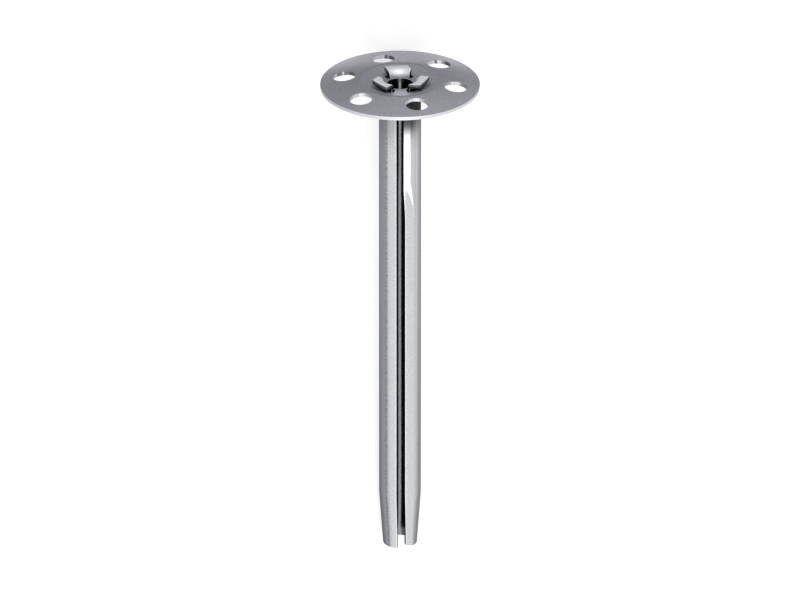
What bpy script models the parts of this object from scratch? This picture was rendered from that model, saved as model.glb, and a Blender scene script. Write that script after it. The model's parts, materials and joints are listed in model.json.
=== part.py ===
"""Insulation anchor: a slit steel sleeve with a domed pressure plate crimped on its end.

The anchor is drawn upright in its own frame: the sleeve's axis is Z, the plate is on
top, the rim's underside is at Z = 0 and the sleeve's slit faces -Y. An empty then lays
it on the ground as it comes to rest: on the plate's rim and the sleeve's tip, slit up,
with the plate towards +X.
"""

import math

import bmesh
import bpy
from mathutils import Matrix, Vector

MM = 0.001
FULL_TURN = 2.0 * math.pi

# Sleeve: one strip of sheet, rolled up
SLEEVE_DIAMETER = 9.2 * MM
SLEEVE_WALL = 1.0 * MM
SLEEVE_LENGTH = 110.0 * MM        # from the rim's underside to the tip
SLIT_WIDTH = 1.9 * MM
TIP_DIAMETER = 7.5 * MM
TAPER_LENGTH = 12.3 * MM
TIP_CORNER_CUT = 0.65 * MM        # how much shorter the strip's one end corner is
TIP_CORNER_ARC = math.radians(50.0)

# Folded lip along one side of the slit, under the plate
LIP_OVERHANG = 0.35 * MM          # how far it narrows the slit
LIP_WIDTH = 1.47 * MM
LIP_SET_BACK = 0.2 * MM           # its flat lies this far inside the sleeve's front
LIP_FLANK_END = math.radians(52.0)
LIP_TOP = 1.0 * MM
LIP_FULL_FROM = 3.0 * MM
LIP_FULL_TO = 22.3 * MM
LIP_CREASE_DROP = 0.5 * MM
LIP_END = 27.1 * MM

# Tongues at the sleeve's end, bent over the plate
TONGUE_COUNT = 3
TONGUE_HALF_ARC = math.radians(36.0)
TONGUE_BEND = 0.25 * MM           # inner radius of the bend
TONGUE_REACH = 1.4 * MM           # past the sleeve's outer side
TONGUE_POINT_FLARE = 0.5 * MM     # the pointed corner stands out by this much
TONGUE_POINT_BACK = 0.45 * MM
TONGUE_CUT_SIDE = 0.9 * MM        # the cut corner, along the edge
TONGUE_CUT_LENGTH = 1.2 * MM      # and along the side
TONGUE_SIDE_NIP = 0.3 * MM        # the cut side stands in by this much

# Plate
PLATE_DIAMETER = 35.0 * MM
PLATE_THICKNESS = 0.9 * MM
CONE_SLOPE = math.radians(6.6)
FLANK_WIDTH = 2.5 * MM            # from the crest in to the dished centre
CREST_BLEND = 5.0 * MM
CENTRE_MARGIN = 1.0 * MM          # the dished centre's flat runs this far past the sleeve
CENTRE_BLEND = 3.0 * MM
CENTRE_RISE = 0.05 * MM           # its height over the rim
BORE_WEB = 0.45 * MM              # sheet left between the bore and the tongue slots
HOLE_DIAMETER = 5.0 * MM
HOLE_MARGIN = 2.5 * MM            # from a hole's edge to the rim
HOLE_COUNT = 6
HOLE_TURN = math.radians(15.0)    # from the rear tongue to the next hole
SLOT_CORNER = 0.3 * MM

# Fits and fineness
CRIMP_GAP = 0.3 * MM              # between sleeve and plate all round
EDGE_ROUND = 0.1 * MM
PLATE_FACETS = 72
HOLE_FACETS = 32
ARC_STEP = math.radians(4.8)
CORNER_STEPS = 3
BEND_STEPS = 4
BLEND_STEPS = 3
LIP_STEPS = 4
CUTTER_REACH = 3.0 * MM           # how far a cutter runs past the sheet
EDGE_ANGLE = math.radians(50.0)   # what bends more than this is an edge and is rounded
SHADING_ANGLE = math.radians(30.0)
WELD_DISTANCE = 0.001 * MM
TILT_PRECISION = 1e-7

# Colours and roughness
PLATE_COLOUR = (0.48, 0.49, 0.51)
PLATE_ROUGHNESS = 0.42
SLEEVE_COLOUR = (0.60, 0.61, 0.63)
SLEEVE_ROUGHNESS = 0.35

# Worked-out sizes
rear = math.pi / 2
sleeve_radius = SLEEVE_DIAMETER / 2
bore_wall = sleeve_radius - SLEEVE_WALL
tip_radius = TIP_DIAMETER / 2
half_slit = math.asin(SLIT_WIDTH / 2 / sleeve_radius)
tongue_pitch = FULL_TURN / TONGUE_COUNT
tongue_half_width = sleeve_radius * math.sin(TONGUE_HALF_ARC)
plate_radius = PLATE_DIAMETER / 2
hole_circle = plate_radius - HOLE_MARGIN - HOLE_DIAMETER / 2
centre_radius = sleeve_radius + CENTRE_MARGIN
centre_top = PLATE_THICKNESS + CENTRE_RISE
crest_radius = centre_radius + FLANK_WIDTH
crest_top = PLATE_THICKNESS + (plate_radius - crest_radius) * math.tan(CONE_SLOPE)
bore_radius = bore_wall - CRIMP_GAP - BORE_WEB
shoulder = CENTRE_RISE - CRIMP_GAP


def collection(name):
    """A new collection in the scene."""
    made = bpy.data.collections.new(name)
    bpy.context.scene.collection.children.link(made)
    return made


def metal(name, colour, roughness):
    """A Principled metal."""
    material = bpy.data.materials.new(name)
    material.use_nodes = True
    shader = material.node_tree.nodes["Principled BSDF"]
    shader.inputs["Base Color"].default_value = (*colour, 1.0)
    shader.inputs["Metallic"].default_value = 1.0
    shader.inputs["Roughness"].default_value = roughness
    return material


def shade(mesh):
    """Smooth over the round walls, sharp at the edges."""
    mesh.shade_smooth()
    mesh.set_sharp_from_angle(angle=SHADING_ANGLE)


def between(start, end, share):
    """The point or number this share of the way from start to end."""
    return start + (end - start) * share


def around(radius, angle, height):
    """A point of a circle about the axis."""
    return Vector((radius * math.cos(angle), radius * math.sin(angle), height))


def round_edges(part):
    """Round the part's sharp edges."""
    bevel = part.modifiers.new("round_edges", "BEVEL")
    bevel.width = EDGE_ROUND
    bevel.segments = 1
    bevel.limit_method = "ANGLE"
    bevel.angle_limit = EDGE_ANGLE
    bevel.use_clamp_overlap = True


# Plate

def rounded_corner(before, corner, after, radius):
    """Points of the arc that rounds a corner of an outline in (radius, height).

    The arc takes at most half of each of the two walls that meet in the corner.
    """
    towards_before = (before - corner).normalized()
    towards_after = (after - corner).normalized()
    half_angle = towards_before.angle(towards_after) / 2
    shorter_wall = min((before - corner).length, (after - corner).length)
    radius = min(radius, shorter_wall / 2 * math.tan(half_angle))
    start = corner + towards_before * (radius / math.tan(half_angle))
    end = corner + towards_after * (radius / math.tan(half_angle))
    centre = corner + (towards_before + towards_after).normalized() * (radius / math.sin(half_angle))
    points = []
    for step in range(BLEND_STEPS + 1):
        chord = between(start, end, step / BLEND_STEPS) - centre
        points.append(centre + chord.normalized() * radius)
    return points


def plate_top_line():
    """The plate's outer face from rim to bore: cone, crest, dished centre."""
    rim = Vector((plate_radius, PLATE_THICKNESS))
    crest = Vector((crest_radius, crest_top))
    centre_edge = Vector((centre_radius, centre_top))
    bore = Vector((bore_radius, centre_top))
    line = [rim]
    line += rounded_corner(rim, crest, centre_edge, CREST_BLEND)
    line += rounded_corner(crest, centre_edge, bore, CENTRE_BLEND)
    line.append(bore)
    return line


def plate_top_at(radius):
    """Height of the plate's outer face at a distance from the axis."""
    line = plate_top_line()
    for outer, inner in zip(line, line[1:]):
        if inner.x <= radius <= outer.x:
            return between(inner.y, outer.y, (radius - inner.x) / (outer.x - inner.x))
    return centre_top


def own_cutter(cutter, holder):
    """Keep a cutter in its collection, out of the render."""
    for owner in cutter.users_collection:
        owner.objects.unlink(cutter)
    holder.objects.link(cutter)
    cutter.hide_render = True
    cutter.display_type = "WIRE"
    return cutter


def hole_cutter(index, holder):
    """A pin that cuts one of the round holes."""
    angle = rear + HOLE_TURN + index * FULL_TURN / HOLE_COUNT
    centre = around(hole_circle, angle, PLATE_THICKNESS)
    bpy.ops.mesh.primitive_cylinder_add(
        vertices=HOLE_FACETS, radius=HOLE_DIAMETER / 2, depth=2 * CUTTER_REACH, location=centre)
    cutter = bpy.context.object
    cutter.name = f"hole_cutter_{index + 1}"
    return own_cutter(cutter, holder)


def slot_outline():
    """Outline of the curved slot that clears a tongue, centred on the X axis."""
    inner = bore_wall - CRIMP_GAP
    outer = sleeve_radius + CRIMP_GAP
    half_arc = TONGUE_HALF_ARC + CRIMP_GAP / inner
    arc_steps = round(2 * half_arc / ARC_STEP)

    def corner(radius, side, first_turn):
        """A quarter turn about the middle of one rounded corner."""
        angle = side * (half_arc - math.asin(SLOT_CORNER / radius))
        centre = around(radius, angle, 0.0)
        first = angle + first_turn
        shares = [step / CORNER_STEPS for step in range(CORNER_STEPS + 1)]
        return [centre + around(SLOT_CORNER, between(first, first + rear, share), 0.0) for share in shares]

    def long_side(radius, corner_radius, side):
        """The points of one long side between its two corners."""
        end = side * (half_arc - math.asin(SLOT_CORNER / corner_radius))
        return [around(radius, between(-end, end, step / arc_steps), 0.0) for step in range(1, arc_steps)]

    outer_corner = outer - SLOT_CORNER
    inner_corner = inner + SLOT_CORNER
    outline = long_side(outer, outer_corner, 1)
    outline += corner(outer_corner, 1, 0.0) + corner(inner_corner, 1, rear)
    outline += long_side(inner, inner_corner, -1)
    outline += corner(inner_corner, -1, 2 * rear) + corner(outer_corner, -1, 3 * rear)
    return outline


def slot_cutter(index, holder):
    """A curved bar that cuts one of the tongue slots."""
    curve = bpy.data.curves.new("slot_outline", "CURVE")
    curve.dimensions = "2D"
    curve.fill_mode = "BOTH"
    curve.extrude = CUTTER_REACH
    points = slot_outline()
    spline = curve.splines.new("POLY")
    spline.points.add(len(points) - 1)
    for spline_point, place in zip(spline.points, points):
        spline_point.co = (*place, 1.0)
    spline.use_cyclic_u = True
    outline = bpy.data.objects.new("slot_outline", curve)
    bpy.context.scene.collection.objects.link(outline)
    outline.rotation_euler.z = rear + index * tongue_pitch
    outline.location.z = PLATE_THICKNESS
    bpy.context.view_layer.update()
    mesh = bpy.data.meshes.new_from_object(outline.evaluated_get(bpy.context.evaluated_depsgraph_get()))
    solid = bmesh.new()
    solid.from_mesh(mesh)
    bmesh.ops.remove_doubles(solid, verts=solid.verts, dist=WELD_DISTANCE)
    bmesh.ops.recalc_face_normals(solid, faces=solid.faces)
    solid.to_mesh(mesh)
    solid.free()
    cutter = bpy.data.objects.new(f"slot_cutter_{index + 1}", mesh)
    cutter.matrix_world = outline.matrix_world.copy()
    bpy.data.objects.remove(outline)
    return own_cutter(cutter, holder)


def make_plate(parts, cutters, material):
    """The domed plate: a turned sheet with holes, tongue slots and a bore."""
    mesh = bpy.data.meshes.new("plate")
    half_facet = math.pi / PLATE_FACETS
    points = [around(point.x, half_facet, point.y) for point in reversed(plate_top_line())]
    mesh.from_pydata(points, [(i, i + 1) for i in range(len(points) - 1)], [])
    mesh.materials.append(material)
    plate = bpy.data.objects.new("plate", mesh)
    parts.objects.link(plate)
    turn = plate.modifiers.new("turn", "SCREW")
    turn.steps = PLATE_FACETS
    turn.render_steps = PLATE_FACETS
    turn.merge_threshold = WELD_DISTANCE
    sheet = plate.modifiers.new("sheet", "SOLIDIFY")
    sheet.thickness = PLATE_THICKNESS
    sheet.offset = -1.0
    sheet.use_even_offset = True
    made = [hole_cutter(index, cutters) for index in range(HOLE_COUNT)]
    made += [slot_cutter(index, cutters) for index in range(TONGUE_COUNT)]
    for cutter in made:
        cut = plate.modifiers.new(cutter.name, "BOOLEAN")
        cut.object = cutter
        cut.operation = "DIFFERENCE"
        cut.solver = "EXACT"
    round_edges(plate)
    return plate, made


# Sleeve

def strip_angles():
    """Angles of the strip's columns, counted from the middle of the slit, and whose tongue each is in."""
    edges = [half_slit]
    for index in range(TONGUE_COUNT):
        middle = (index + 0.5) * tongue_pitch
        edges += [middle - TONGUE_HALF_ARC, middle + TONGUE_HALF_ARC]
    edges.append(FULL_TURN - half_slit)
    angles = [edges[0]]
    tongues = []
    for index, (start, end) in enumerate(zip(edges, edges[1:])):
        steps = max(1, round((end - start) / ARC_STEP))
        first = len(angles) - 1
        angles += [between(start, end, step / steps) for step in range(1, steps + 1)]
        if index % 2:
            tongues.append((first, len(angles) - 1))
    return angles, tongues


def round_point(angle, radius):
    """A point of the rolled strip; the slit keeps its width where the sleeve narrows."""
    here = math.asin(SLIT_WIDTH / 2 / radius)
    spread = math.pi + (angle - math.pi) * (math.pi - here) / (math.pi - half_slit)
    return Vector((radius * math.sin(spread), -radius * math.cos(spread), 0.0))


def lip_point(angle):
    """A point of the strip where its edge is folded into a flat lip and a flat flank."""
    crease_angle = tongue_pitch / 2 - TONGUE_HALF_ARC
    front = -(sleeve_radius - LIP_SET_BACK)
    tip = Vector((SLIT_WIDTH / 2 - LIP_OVERHANG, front, 0.0))
    crease = Vector((tip.x + LIP_WIDTH, front, 0.0))
    if angle < crease_angle:
        return between(tip, crease, (angle - half_slit) / (crease_angle - half_slit))
    if angle < LIP_FLANK_END:
        flank_end = round_point(LIP_FLANK_END, sleeve_radius)
        return between(crease, flank_end, (angle - crease_angle) / (LIP_FLANK_END - crease_angle))
    return round_point(angle, sleeve_radius)


def wall_rows(angle):
    """The strip's points at one angle, from the shoulder under the plate down to the tip."""
    plain = round_point(angle, sleeve_radius)
    folded = lip_point(angle)
    run_out = min(1.0, (angle - half_slit) / (LIP_FLANK_END - half_slit))
    crease_depth = between(LIP_FULL_TO + LIP_CREASE_DROP, LIP_END, run_out)
    rows = [plain + Vector((0, 0, shoulder)), plain - Vector((0, 0, LIP_TOP))]
    rows.append(folded - Vector((0, 0, LIP_FULL_FROM)))
    for step in range(LIP_STEPS + 1):
        share = step / LIP_STEPS
        depth = between(LIP_FULL_TO, crease_depth, share)
        rows.append(between(folded, plain, share) - Vector((0, 0, depth)))
    rows.append(plain - Vector((0, 0, 2 * LIP_END - LIP_FULL_TO)))
    rows.append(plain - Vector((0, 0, SLEEVE_LENGTH - TAPER_LENGTH)))
    cut_share = max(0.0, 1.0 - (angle - half_slit) / (TIP_CORNER_ARC - half_slit))
    rows.append(round_point(angle, tip_radius) - Vector((0, 0, SLEEVE_LENGTH - TIP_CORNER_CUT * cut_share)))
    return rows


def tongue_edge(share):
    """The tongue's outer edge in (side, out), from past the cut corner to the pointed one."""
    cut = -(tongue_half_width - TONGUE_CUT_SIDE)
    point = tongue_half_width + TONGUE_POINT_FLARE
    out = sleeve_radius + TONGUE_REACH - TONGUE_POINT_BACK * share ** 2
    return Vector((between(cut, point, share), out, 0.0))


def tongue_underside():
    """Height of the tongues' undersides: their pointed corners clear the plate's flank."""
    return plate_top_at(tongue_edge(1.0).length) + CRIMP_GAP


def tongue_rows(step, steps, middle):
    """One column of a tongue: up through the slot, round the bend and out over the plate."""
    turn = between(-TONGUE_HALF_ARC, TONGUE_HALF_ARC, step / steps)
    base = Vector((sleeve_radius * math.sin(turn), sleeve_radius * math.cos(turn), 0.0))
    if step == 0:
        side = -(tongue_half_width - TONGUE_SIDE_NIP)
        end = Vector((side, sleeve_radius + TONGUE_REACH - TONGUE_CUT_LENGTH, 0.0))
    else:
        end = tongue_edge((step - 1) / (steps - 1))
    outwards = (end - base).normalized()
    bend_foot = tongue_underside() - TONGUE_BEND
    flat = [base + Vector((0, 0, bend_foot))]
    for bend in range(1, BEND_STEPS + 1):
        lean = rear * bend / BEND_STEPS
        rise = bend_foot + TONGUE_BEND * math.sin(lean)
        flat.append(base + outwards * TONGUE_BEND * (1 - math.cos(lean)) + Vector((0, 0, rise)))
    flat.append(end + Vector((0, 0, tongue_underside())))
    to_place = Matrix.Rotation(middle - math.pi, 4, "Z")
    return [to_place @ Vector((-point.x, point.y, point.z)) for point in flat]


def make_sleeve(parts, material):
    """The rolled strip: sleeve wall, folded lip, tapered tip and bent tongues."""
    angles, tongues = strip_angles()
    strip = bmesh.new()
    wall = [[strip.verts.new(point) for point in wall_rows(angle)] for angle in angles]
    for left, right in zip(wall, wall[1:]):
        for row in range(len(left) - 1):
            strip.faces.new((left[row], left[row + 1], right[row + 1], right[row]))
    for index, (first, last) in enumerate(tongues):
        middle = (index + 0.5) * tongue_pitch
        columns = []
        for column in range(first, last + 1):
            points = tongue_rows(column - first, last - first, middle)
            columns.append([wall[column][0]] + [strip.verts.new(point) for point in points])
        for left, right in zip(columns, columns[1:]):
            for row in range(len(left) - 1):
                strip.faces.new((left[row + 1], left[row], right[row], right[row + 1]))
    mesh = bpy.data.meshes.new("sleeve")
    strip.to_mesh(mesh)
    strip.free()
    mesh.materials.append(material)
    sleeve = bpy.data.objects.new("sleeve", mesh)
    parts.objects.link(sleeve)
    sheet = sleeve.modifiers.new("sheet", "SOLIDIFY")
    sheet.thickness = SLEEVE_WALL
    sheet.offset = -1.0
    sheet.use_even_offset = True
    round_edges(sleeve)
    return sleeve


# Resting pose

def shape_points(part):
    """The finished shape's points in world space."""
    bpy.context.view_layer.update()
    shown = part.evaluated_get(bpy.context.evaluated_depsgraph_get())
    mesh = shown.to_mesh()
    points = [shown.matrix_world @ vertex.co for vertex in mesh.vertices]
    shown.to_mesh_clear()
    return points


def lay_down(carrier, plate, sleeve):
    """Turn the anchor on to its side until rim and tip both touch the ground."""
    plate_points = shape_points(plate)
    sleeve_points = shape_points(sleeve)

    def depth(points, tilt):
        """How far the points reach down once the axis is tilted."""
        return max(point.y * math.cos(tilt) - point.z * math.sin(tilt) for point in points)

    low, high = 0.0, rear / 2
    while high - low > TILT_PRECISION:
        tilt = (low + high) / 2
        if depth(plate_points, tilt) > depth(sleeve_points, tilt):
            low = tilt
        else:
            high = tilt
    upright_to_lying = Matrix(((0, 0, 1), (-1, 0, 0), (0, -1, 0))).to_4x4()
    carrier.matrix_world = Matrix.Rotation(-low, 4, "Y") @ upright_to_lying
    points = shape_points(plate) + shape_points(sleeve)
    lows = [min(point[axis] for point in points) for axis in range(3)]
    highs = [max(point[axis] for point in points) for axis in range(3)]
    carrier.location = (-(lows[0] + highs[0]) / 2, -(lows[1] + highs[1]) / 2, -lows[2])


def build():
    """Clear the scene, model both pieces upright and lay them down."""
    for thing in list(bpy.data.objects):
        bpy.data.objects.remove(thing)
    parts = collection("insulation_anchor")
    cutters = collection("cutters")
    carrier = bpy.data.objects.new("anchor_axis", None)
    parts.objects.link(carrier)
    carrier.empty_display_size = plate_radius
    sleeve = make_sleeve(parts, metal("sleeve_zinc", SLEEVE_COLOUR, SLEEVE_ROUGHNESS))
    plate, made_cutters = make_plate(parts, cutters, metal("plate_zinc", PLATE_COLOUR, PLATE_ROUGHNESS))
    for part in [sleeve, plate] + made_cutters:
        part.parent = carrier
    shade(sleeve.data)
    shade(plate.data)
    lay_down(carrier, plate, sleeve)


build()
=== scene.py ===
"""Insulation anchor in zinc-coated steel, lying on a pale studio floor.

The anchor is drawn upright in its own frame: the sleeve's axis is Z, the plate is on top,
the rim's underside is at Z = 0 and the slit faces -Y. The record's plate mount then says
where that frame lies.
"""

import json
import math

import bmesh
import bpy
from bpy.props import FloatProperty, FloatVectorProperty, IntProperty, PointerProperty
from mathutils import Matrix, Vector
from mathutils.geometry import delaunay_2d_cdt

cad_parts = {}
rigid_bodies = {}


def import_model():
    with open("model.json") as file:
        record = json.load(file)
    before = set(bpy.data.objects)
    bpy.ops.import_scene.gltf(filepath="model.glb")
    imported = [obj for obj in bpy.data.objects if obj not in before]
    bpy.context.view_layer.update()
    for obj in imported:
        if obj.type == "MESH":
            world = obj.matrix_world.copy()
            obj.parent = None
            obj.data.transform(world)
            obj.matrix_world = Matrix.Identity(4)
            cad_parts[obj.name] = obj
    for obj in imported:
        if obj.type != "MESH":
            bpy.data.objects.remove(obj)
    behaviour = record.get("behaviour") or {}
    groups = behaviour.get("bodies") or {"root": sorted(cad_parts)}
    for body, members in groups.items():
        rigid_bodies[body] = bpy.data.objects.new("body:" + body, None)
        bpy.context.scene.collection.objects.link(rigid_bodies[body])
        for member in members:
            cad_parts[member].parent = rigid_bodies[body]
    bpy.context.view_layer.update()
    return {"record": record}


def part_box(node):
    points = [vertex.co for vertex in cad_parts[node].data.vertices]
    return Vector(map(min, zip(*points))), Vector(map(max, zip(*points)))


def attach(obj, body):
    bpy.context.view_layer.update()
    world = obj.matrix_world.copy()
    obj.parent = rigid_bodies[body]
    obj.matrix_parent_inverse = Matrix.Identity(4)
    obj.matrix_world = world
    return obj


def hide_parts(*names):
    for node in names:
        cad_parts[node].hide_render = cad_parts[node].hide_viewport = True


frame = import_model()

bl_info = {
    "name": "Insulation anchor",
    "version": (1, 0, 0),
    "blender": (4, 5, 0),
    "location": "3D View > Sidebar > Anchor",
    "description": "Slit sleeve anchor with a domed pressure plate, in zinc-coated steel",
    "category": "Object",
}

MM = 0.001
FULL_TURN = 2.0 * math.pi
RIGHT_ANGLE = math.pi / 2

# Fineness of the meshes
STRIP_STEP = math.radians(1.6)
BEND_STEPS = 10
LIP_RAMP_STEPS = 6
LIP_CREASE_STEPS = 44
KINK_STEPS = 6
EDGE_STEPS = 4
RIM_POINTS = 240
HOLE_POINTS = 72
BORE_POINTS = 96
CORNER_STEPS = 6
BLEND_RING_STEP = 0.3 * MM
CONE_RING_STEP = 0.8 * MM
OUTLINE_CLEARANCE = 0.3 * MM      # how near to an outline the plate's inner points come
CDT_PRECISION = 1e-9
BELOW_LIP = 1.2                   # depth of the first plain row, as a share of the lip's end
TAPER_ROW = 0.6                   # how far along the taper its middle row is
TONGUE_ROW = 0.12                 # how far along a tongue's flat its first row past the bend is

MOUNT_RADIUS = 4.1 * MM           # the plate mount's distance from the axis, towards the slit
LIP_DIP = 0.06 * MM               # how far the lip's flank may dip below the round wall

# Zones of a sheet, which are the numbers of their materials
OUTER, CUT, INNER = range(3)


# Settings

def length(name, description, default):
    """A size in metres."""
    return FloatProperty(name=name, description=description, default=default, precision=5, unit="LENGTH")


def angle(name, description, degrees):
    """An angle."""
    return FloatProperty(name=name, description=description, default=math.radians(degrees), unit="ROTATION")


def share(name, description, default):
    """A number from 0 to 1."""
    return FloatProperty(name=name, description=description, default=default, min=0, max=1, subtype="FACTOR")


def level(name, description, default):
    """A brightness, where 1 is white."""
    return FloatProperty(name=name, description=description, default=default, min=0)


def colour(name, description, default):
    """A linear colour."""
    return FloatVectorProperty(
        name=name, description=description, default=default, size=3, min=0, max=1, subtype="COLOR")


class PlateSettings(bpy.types.PropertyGroup):
    """Sizes and finish of the pressure plate."""

    diameter: length("Diameter", "Across the rim", 35.0 * MM)
    thickness: length("Thickness", "Of the sheet", 0.9 * MM)
    cone_slope: angle("Cone slope", "Rise of the outer cone", 6.6)
    flank_width: length("Flank width", "From the crest in to the dished centre", 3.27 * MM)
    crest_blend: length("Crest blend", "Radius over the crest", 1.6 * MM)
    centre_margin: length("Centre margin", "The centre's flat past the sleeve", 1.0 * MM)
    centre_blend: length("Centre blend", "Radius round the dished centre", 3.0 * MM)
    centre_rise: length("Centre rise", "The centre's height over the rim", 0.05 * MM)
    bore_web: length("Bore web", "Sheet between the bore and the tongue slots", 0.45 * MM)
    hole_diameter: length("Hole diameter", "Of the holes in the cone", 5.0 * MM)
    hole_margin: length("Hole margin", "From a hole's edge to the rim", 2.5 * MM)
    hole_count: IntProperty(name="Holes", description="Holes in the cone", default=6, min=3)
    hole_turn: angle("Hole turn", "From the rear tongue to the next hole", 15.0)
    slot_corner: length("Slot corner", "Corner radius of the tongue slots", 0.3 * MM)
    crimp_gap: length("Crimp gap", "Between the sleeve and the plate", 0.3 * MM)
    edge_round: length("Edge rounding", "Radius of the cut edges", 0.12 * MM)
    zinc: colour("Zinc", "Colour of the coat", (0.447, 0.452, 0.494))
    cut_steel: colour("Cut edges", "Colour of the punched edges", (0.72, 0.735, 0.76))
    cut_metallic: share("Cut metallic", "How much the punched edges mirror", 0.35)
    # Dark colour of the bore's and the slots' edges, a painted shade
    bore_shade_tone: colour("Bore", "Colour of the bore's edge", (0.10, 0.103, 0.11))
    roughness: share("Roughness", "Of the coat", 0.30)
    dish_dulling: share("Dish dulling", "How much rougher the dished centre is", 0.22)
    # A painted highlight on the dish's front
    painted_dish_highlight: share("Dish rub", "How bright the front of the dish is rubbed", 0.9)
    cut_roughness: share("Cut roughness", "Of the punched edges", 0.5)
    # Streaks in the holes' walls and a painted shade on their side that faces left
    hole_streak_and_shade: share("Punch shade", "Of the dark streaks in the holes", 0.9)
    bore_roughness: share("Bore roughness", "Of the bore's edge", 0.25)


class SleeveSettings(bpy.types.PropertyGroup):
    """Sizes and finish of the slit sleeve."""

    diameter: length("Diameter", "Outside, along the straight part", 9.2 * MM)
    wall: length("Wall", "Thickness of the strip", 1.0 * MM)
    length: length("Length", "From the rim's underside to the tip", 110.0 * MM)
    slit_width: length("Slit width", "Between the strip's edges", 1.9 * MM)
    tip_diameter: length("Tip diameter", "Outside, at the tip", 7.5 * MM)
    taper_length: length("Taper length", "Of the tip's taper", 12.3 * MM)
    taper_blend: length("Taper blend", "Length of the soft bend into the taper", 1.6 * MM)
    slit_lean: angle("Slit lean", "Turn of the slit at the tip", 3.5)
    tip_corner_cut: length("Tip corner cut", "How much shorter one end corner is", 0.65 * MM)
    tip_corner_arc: angle("Tip corner arc", "How far round the cut runs", 50.0)
    lip_overhang: length("Lip overhang", "How far the lip narrows the slit", 0.35 * MM)
    lip_width: length("Lip width", "Of the lip's flat", 1.56 * MM)
    lip_stand: length("Lip stand-out", "Of the lip's flat past the sleeve's front", 0.1 * MM)
    lip_flank_end: angle("Lip flank end", "Where the flank meets the round wall", 52.0)
    lip_top: length("Lip top", "Where the lip starts, below the rim", 1.0 * MM)
    lip_full_from: length("Lip full from", "Where it is whole", 3.0 * MM)
    lip_full_to: length("Lip full to", "Where it starts to run out", 21.0 * MM)
    lip_crease_start: length("Crease start", "Depth of the run-out's crease at the slit", 22.5 * MM)
    lip_crease_end: length("Crease end", "Depth of its other end", 29.5 * MM)
    lip_crease_turn: angle("Crease turn", "Where that end lies, from the slit's middle", 42.0)
    lip_facet_turn: angle("Facet turn", "Way that the run-out's facet faces", 6.0)
    lip_end: length("Lip end", "Where the wall is round again", 30.4 * MM)
    tongue_count: IntProperty(name="Tongues", description="Bent over the plate", default=3, min=1)
    tongue_half_arc: angle("Tongue half arc", "Half of a tongue's root", 36.0)
    tongue_seat: length("Tongue seat", "From the dished centre up to the tongues' undersides", 0.635 * MM)
    tongue_bend: length("Tongue bend", "Inner radius of the bend", 0.25 * MM)
    tongue_reach: length("Tongue reach", "Past the sleeve's outer side", 1.4 * MM)
    tongue_point_flare: length("Point flare", "The pointed corner stands out by this", 0.5 * MM)
    tongue_point_back: length("Point set-back", "And lies back by this", 0.45 * MM)
    tongue_cut_side: length("Cut corner side", "The cut corner, along the edge", 0.9 * MM)
    tongue_cut_length: length("Cut corner length", "The cut corner, along the side", 1.2 * MM)
    tongue_side_nip: length("Side nip", "The cut side stands in by this", 0.3 * MM)
    edge_round: length("Edge rounding", "Radius of the sheared edges", 0.1 * MM)
    zinc: colour("Zinc", "Colour of the coat", (0.64, 0.655, 0.68))
    # Dark colour of the inside of the sleeve, a painted shade
    bore_shade_tone: colour("Bore", "Colour of the bore", (0.105, 0.108, 0.115))
    # Near-black colour of the strip's edges and of the tongues' undersides, a painted shade
    edge_shade_tone: colour("Sheared edges", "Colour of the strip's edges", (0.025, 0.0255, 0.027))
    # Scales the painted shadow of the plate on the sleeve, the tongues' painted light, the rolls' marks and
    # the roughness near the plate
    painted_plate_light_and_shade: share("Crimp shade", "How dull the sleeve gets towards the plate", 1.0)
    roughness: share("Roughness", "Of the coat", 0.22)
    sheared_roughness: share("Sheared roughness", "Of the strip's edges", 0.4)
    bore_roughness: share("Bore roughness", "Of the bore", 0.13)
    # Painted light on the front tongues' upper edges
    painted_edge_light: share("Bared edges", "How bare the steel is on the front tongues' edges", 1.0)


class StudioSettings(bpy.types.PropertyGroup):
    """Floor, light and camera."""

    floor_size: length("Floor size", "Side of the floor", 6.0)
    floor_tone: colour("Floor", "Colour of the floor", (0.8, 0.8, 0.8))
    floor_glow: level("Floor glow", "Added to what the camera and the metal see of the floor", 0.26)
    shadow_lift: level("Shadow lift", "Added to what the camera alone sees of the floor", 0.2)
    sky_level: level("Sky", "White round the object, as the camera and the metal see it", 1.0)
    fill_level: level("Fill", "Light of the sky on dull surfaces", 0.55)
    strip_level: level("Strip light", "Of the long light over the slit", 1.9)
    front_level: level("Front light", "Of the wide light beyond the plate", 1.0)
    left_card: colour("Left card", "Card that the sleeve's dark side mirrors", (0.41, 0.42, 0.45))
    foot_card: colour("Foot card", "Card under the sleeve's dark edge", (0.22, 0.225, 0.24))
    right_card: colour("Right card", "Near part of the card on the other side", (0.33, 0.33, 0.335))
    plate_card: colour("Plate card", "Card that the plate's middle mirrors", (0.50, 0.505, 0.52))
    front_card: colour("Front card", "Card that the plate's front mirrors", (0.80, 0.80, 0.80))
    rear_glow: level("Rear glow", "Of the card that the plate's rear mirrors", 0.12)
    lens: FloatProperty(name="Lens", description="Focal length in millimetres", default=1000.0)
    distance: length("Distance", "From the camera to the anchor", 4.876)
    elevation: angle("Elevation", "Of the view over the plate's plane", 25.157)
    turn: angle("Turn", "Of the slit to the view's right", 2.2)
    aim_depth: length("Aim depth", "Of the picture's centre below the rim", 51.303 * MM)


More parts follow.
